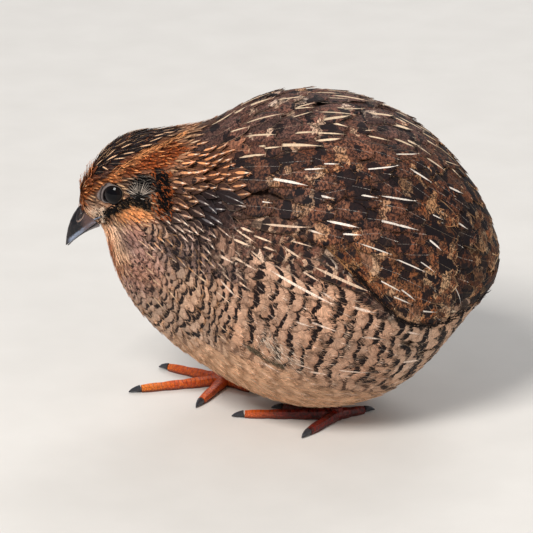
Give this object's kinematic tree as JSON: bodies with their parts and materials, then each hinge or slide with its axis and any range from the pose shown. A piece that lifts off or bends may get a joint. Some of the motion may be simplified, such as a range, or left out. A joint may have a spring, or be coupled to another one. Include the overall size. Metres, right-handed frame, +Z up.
{
  "type": "king quail hen model",
  "caption": "Life-size still model of a king quail hen, standing hunched on both feet with fluffed plumage and folded wings.",
  "frame": {"origin": "on the floor, under the middle of the bird's length and width", "axes": "+X towards the tail, the bill points to -X; +Y to the bird's right side; +Z up"},
  "size_m": [0.1037, 0.069, 0.0792],
  "materials": {
    "body_plumage": "matte",
    "flight_feathers": "matte",
    "horn": "satin",
    "eye_gloss": "gloss",
    "foot_skin": "satin"
  },
  "bodies": {
    "root": {"torso": "body_plumage", "neck": "body_plumage", "head": "body_plumage", "tail": "flight_feathers", "wing_left": "flight_feathers", "wing_right": "flight_feathers", "bill_upper": "horn", "bill_lower": "horn", "eye_left": "eye_gloss", "eye_right": "eye_gloss", "leg_left": "foot_skin", "leg_right": "foot_skin", "foot_left": "foot_skin", "foot_right": "foot_skin", "claw_left_1": "horn", "claw_left_2": "horn", "claw_left_3": "horn", "claw_left_4": "horn", "claw_right_1": "horn", "claw_right_2": "horn", "claw_right_3": "horn", "claw_right_4": "horn"}
  },
  "joints": []
}
